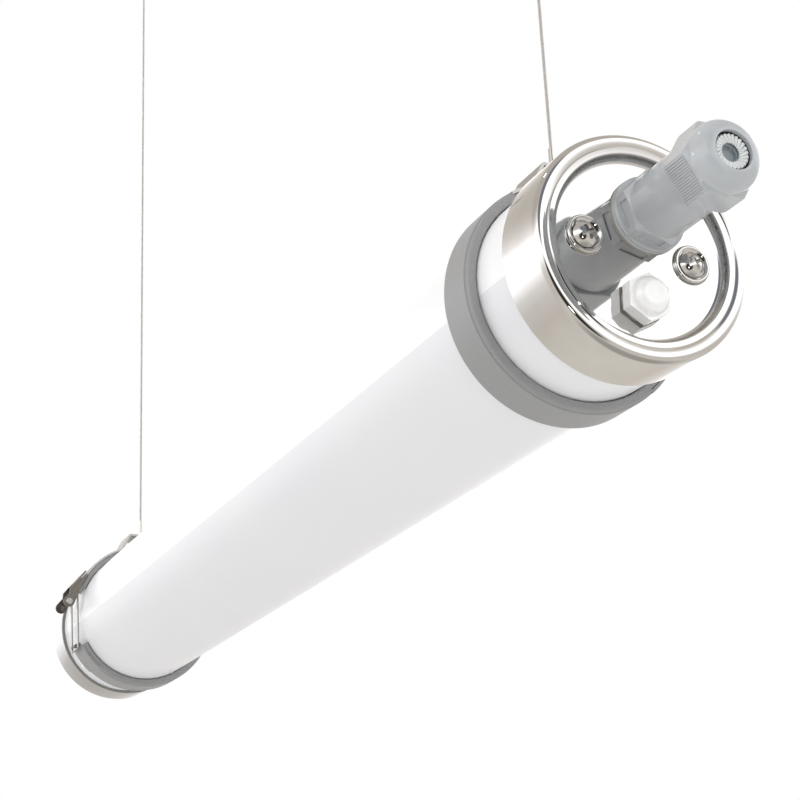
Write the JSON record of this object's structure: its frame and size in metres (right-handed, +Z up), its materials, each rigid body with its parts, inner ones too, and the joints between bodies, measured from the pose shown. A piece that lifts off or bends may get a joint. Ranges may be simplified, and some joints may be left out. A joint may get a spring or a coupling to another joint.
{
  "type": "vapor tight tube light",
  "caption": "Sealed round tube light with polished end caps, cable gland and vent plug, hung from the ceiling by wire ropes on quick-release band clamps.",
  "frame": {"origin": "midway between the two ceiling fixings, on the ceiling plane", "axes": "+X along the tube towards the cable gland, +Z up"},
  "size_m": [0.6975, 0.1028, 0.5395],
  "materials": {
    "opal": "glossy opal",
    "polished": "mirror polished stainless steel",
    "steel": "bright stainless sheet",
    "dark": "darkened stainless sheet",
    "bright": "bright stainless wire",
    "band": "matt grey nylon",
    "nylon": "glossy grey nylon",
    "finger": "pale nylon",
    "seal": "grey rubber",
    "gasket": "silicone",
    "ring": "black rubber",
    "plug": "white nylon",
    "rail": "extruded aluminium",
    "board": "white board",
    "chip": "LED package",
    "driver": "moulded case",
    "block": "moulded block",
    "lead": "insulated copper",
    "rope": "stranded steel wire",
    "fitting": "nickel plated"
  },
  "bodies": {
    "lamp": {"diffuser_tube": "opal", "near_end_cap": "polished", "far_end_cap": "polished", "near_cap_gasket": "gasket", "far_cap_gasket": "gasket", "near_cap_screws": "polished", "far_cap_screws": "polished", "near_cup_washers": "polished", "far_cup_washers": "polished", "carrier_rail": "rail", "led_board": "board", "led_chips": "chip", "led_driver": "driver", "terminal_block": "block", "supply_leads": "lead", "board_leads": "lead", "gland_washer": "ring", "gland_body": "nylon", "gland_lock_nut": "nylon", "gland_fingers": "finger", "gland_seal": "seal", "vent_plug": "plug", "vent_ring": "ring", "vent_lock_nut": "plug", "near_clamp_band": "band", "near_hanger_strap": "steel", "near_latch_ears": "dark", "near_latch_catch": "band", "near_latch_hook": "dark", "near_latch_rivets": "bright", "near_band_rivets": "steel", "near_wire_rope": "rope", "near_wire_stop": "fitting", "near_wire_ferrule": "fitting", "near_ceiling_stop": "fitting", "near_ceiling_cup": "fitting", "near_ceiling_base": "fitting", "far_clamp_band": "band", "far_hanger_strap": "steel", "far_latch_ears": "dark", "far_latch_catch": "band", "far_latch_hook": "dark", "far_latch_rivets": "bright", "far_band_rivets": "steel", "far_wire_rope": "rope", "far_wire_stop": "fitting", "far_wire_ferrule": "fitting", "far_ceiling_stop": "fitting", "far_ceiling_cup": "fitting", "far_ceiling_base": "fitting"},
    "gland_clamp_nut": {"gland_clamp_nut": "nylon"},
    "near_latch_lever": {"near_latch_lever": "dark"},
    "near_latch_bail": {"near_latch_bail": "bright"},
    "far_latch_lever": {"far_latch_lever": "dark"},
    "far_latch_bail": {"far_latch_bail": "bright"}
  },
  "joints": [
    {"name": "gland_nut_turn", "type": "hinge", "parent": "lamp", "child": "gland_clamp_nut", "pos_m": [0.3597, 0.005, -0.4814], "axis": [1, 0, 0], "range_deg": [0, 720]},
    {"name": "near_lever_turn", "type": "hinge", "parent": "lamp", "child": "near_latch_lever", "pos_m": [0.27, 0.04802, -0.48893], "axis": [-1, 0, 0], "range_deg": [0, 80]},
    {"name": "near_bail_turn", "type": "hinge", "parent": "near_latch_lever", "child": "near_latch_bail", "pos_m": [0.27, 0.04229, -0.47961], "axis": [-1, 0, 0], "range_deg": [-112, 0]},
    {"name": "far_lever_turn", "type": "hinge", "parent": "lamp", "child": "far_latch_lever", "pos_m": [-0.27, -0.04802, -0.48893], "axis": [1, 0, 0], "range_deg": [0, 80]},
    {"name": "far_bail_turn", "type": "hinge", "parent": "far_latch_lever", "child": "far_latch_bail", "pos_m": [-0.27, -0.04229, -0.47961], "axis": [1, 0, 0], "range_deg": [-112, 0]}
  ],
  "couplings": [
    {"joint": "near_bail_turn", "follows": "near_lever_turn", "ratio": -1.4},
    {"joint": "far_bail_turn", "follows": "far_lever_turn", "ratio": -1.4}
  ]
}
